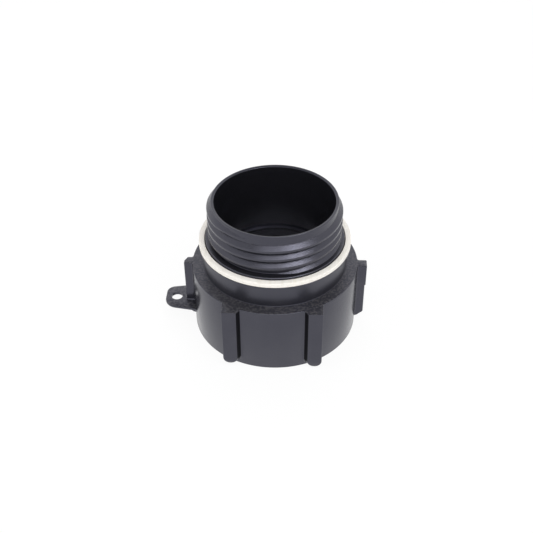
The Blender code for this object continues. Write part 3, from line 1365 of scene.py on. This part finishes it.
@dataclass
class Studio:
    """A white sweep, soft lamps and the camera."""

    camera_turn: float = 2.0
    camera_height: float = 38.66
    camera_distance: float = 369.2 * MM
    camera_near: float = 10.0 * MM
    camera_far: float = 20.0
    sensor_width: float = 36.0
    aim_z: float = 25.93 * MM
    roll: float = -0.179
    focal_px: float = 863.518
    frame_px: float = 533.0
    middle_px: Point = (275.009, 266.239)
    backdrop_level: float = 1.0
    backdrop_top: float = 48.0
    ceiling_from: float = 66.0
    ceiling_level: float = 0.15
    world_level: float = 0.62
    floor_reach: float = 3.0
    floor_white: float = 0.93
    floor_rough: float = 0.9
    floor_lit: float = 0.08
    part_r: float = 33.0 * MM
    part_edge: float = 3.0 * MM
    lamp_aim_z: float = 0.03
    lamps: tuple[Lamp, ...] = (
        Lamp("right_softbox", 42.0, 50.0, 0.9, 0.34, 1.9),
        Lamp("front_softbox", 0.0, 54.0, 1.1, 0.7, 2.4),
        Lamp("left_softbox", -70.0, 35.0, 1.0, 0.6, 1.5, mirrored=False),
        Lamp("top_softbox", 10.0, 80.0, 1.0, 0.6, 0.8, mirrored=False),
        Lamp("back_softbox", 180.0, 50.0, 1.0, 0.6, 2.4, mirrored=False),
    )

    def build_camera(self) -> None:
        """Places the camera at the photograph's viewing angle."""
        data = bpy.data.cameras.new("photo_camera")
        data.sensor_width = self.sensor_width
        data.lens = self.focal_px / self.frame_px * self.sensor_width
        data.shift_x = (self.frame_px / 2 - self.middle_px[0]) / self.frame_px
        data.shift_y = (self.middle_px[1] - self.frame_px / 2) / self.frame_px
        data.clip_start = self.camera_near
        data.clip_end = self.camera_far
        camera = bpy.data.objects.new("photo_camera", data)
        away = away_from_part(self.camera_turn, self.camera_height)
        place = Matrix.Translation(Vector((AXIS_X, 0.0, self.aim_z)) + away * self.camera_distance)
        roll = Matrix.Rotation(math.radians(self.roll), 4, "Z")
        camera.matrix_world = place @ looking_back(away) @ roll
        bpy.context.scene.collection.objects.link(camera)
        bpy.context.scene.camera = camera

    def white_sweep(self) -> bpy.types.Material:
        """A floor that looks white outside the part's footprint, and keeps a trace of its shadow.

        Returns:
            The finished material.
        """
        nodes = Surface("white_sweep")
        white = (self.floor_white, self.floor_white, self.floor_white, 1.0)
        nodes.paint(Base_Color=white, Roughness=self.floor_rough, Specular_IOR_Level=0.0)
        glow = nodes.add("ShaderNodeEmission", {"Color": (1.0, 1.0, 1.0, 1.0), "Strength": 1.0})
        span = {0: nodes.place.outputs["Object"], 1: (AXIS_X, 0.0, 0.0)}
        from_axis = nodes.add("ShaderNodeVectorMath", span, operation="DISTANCE").outputs["Value"]
        open_floor = nodes.ramp(from_axis, (self.part_r - self.part_edge, self.part_r))
        shown = nodes.math("MULTIPLY", nodes.seen(), open_floor)
        share = nodes.math("MULTIPLY", shown, 1.0 - self.floor_lit)
        mix = nodes.add("ShaderNodeMixShader", {0: share, 1: nodes.shader.outputs[0], 2: glow.outputs[0]})
        nodes.put(mix.outputs[0], nodes.tree.nodes["Material Output"].inputs[0])
        return nodes.material

    def build_floor(self) -> None:
        """Builds the floor."""
        reach = self.floor_reach
        corners = [(-reach, -reach, 0.0), (reach, -reach, 0.0), (reach, reach, 0.0), (-reach, reach, 0.0)]
        mesh = bpy.data.meshes.new("floor")
        mesh.from_pydata(corners, [], [(0, 1, 2, 3)])
        floor = bpy.data.objects.new("floor", mesh)
        bpy.context.scene.collection.objects.link(floor)
        mesh.materials.append(self.white_sweep())

    def build_world(self) -> None:
        """Lights the part from all round, with a white backdrop and a dimmer ceiling above it."""
        world = bpy.data.worlds.new("white_tent")
        world.use_nodes = True
        nodes = NodeGraph(world.node_tree)
        sky = nodes.add("ShaderNodeTexCoord").outputs["Generated"]
        height = nodes.add("ShaderNodeSeparateXYZ", {0: sky}).outputs["Z"]
        edges = (math.sin(math.radians(self.backdrop_top)), math.sin(math.radians(self.ceiling_from)))
        shown = nodes.ramp(height, edges, (self.backdrop_level, self.ceiling_level))
        levels = {"Value": nodes.seen(), "To Min": self.world_level, "To Max": shown}
        background = world.node_tree.nodes["Background"]
        nodes.put((1.0, 1.0, 1.0, 1.0), background.inputs["Color"])
        nodes.put(nodes.add("ShaderNodeMapRange", levels).outputs[0], background.inputs["Strength"])
        bpy.context.scene.world = world

    def build(self) -> None:
        """Builds the whole studio."""
        self.build_camera()
        self.build_floor()
        self.build_world()
        for lamp in self.lamps:
            lamp.build(Vector((AXIS_X, 0.0, self.lamp_aim_z)))
        bpy.context.scene.view_settings.view_transform = "Standard"


PLASTIC = MouldedPlastic()
STIPPLED = MouldedPlastic("stippled_black_plastic", roughness=0.2, stipple_depth=0.07 * MM)
DULL = MouldedPlastic("dull_black_plastic", roughness=0.37, rough_face=0.40)
CLEAN = MouldedPlastic("clean_black_plastic", dust=MouldedPlastic.colour, face_depth=0.02 * MM)
# Painted shade: a near-black, barely shiny copy of the plastic for the corner lugs' inner flanks, where the
# lug stands in shade.
PAINTED_SHADE = MouldedPlastic(
    "painted_shade_black_plastic",
    colour=(0.002, 0.002, 0.003),
    dust=(0.004, 0.004, 0.005),
    roughness=0.3,
    specular=0.1,
)
CREAM_SHEET = SheetGasket()
BLACK_SEAL = SheetGasket("black_seal_rubber", colour=(0.012, 0.012, 0.013), streak=(0.02, 0.02, 0.021))


def main() -> None:
    """Builds every piece in order, and the studio round them."""
    logging.basicConfig(level=logging.INFO, format="%(name)s: %(message)s")
    plastic = PLASTIC.build()
    pieces = [
        Shell(plastic, DULL.build(), CLEAN.build()).build(),
        *Threads(STIPPLED.build()).build(),
        *Lugs(plastic, PAINTED_SHADE.build()).build(),
        TetherEar(plastic).build(),
        *Gaskets(CREAM_SHEET.build(), BLACK_SEAL.build()).build(),
    ]
    for piece in pieces:
        LOG.info("%s: %d faces", piece.name, len(piece.data.polygons))
    Studio().build()


if __name__ == "__main__":
    main()
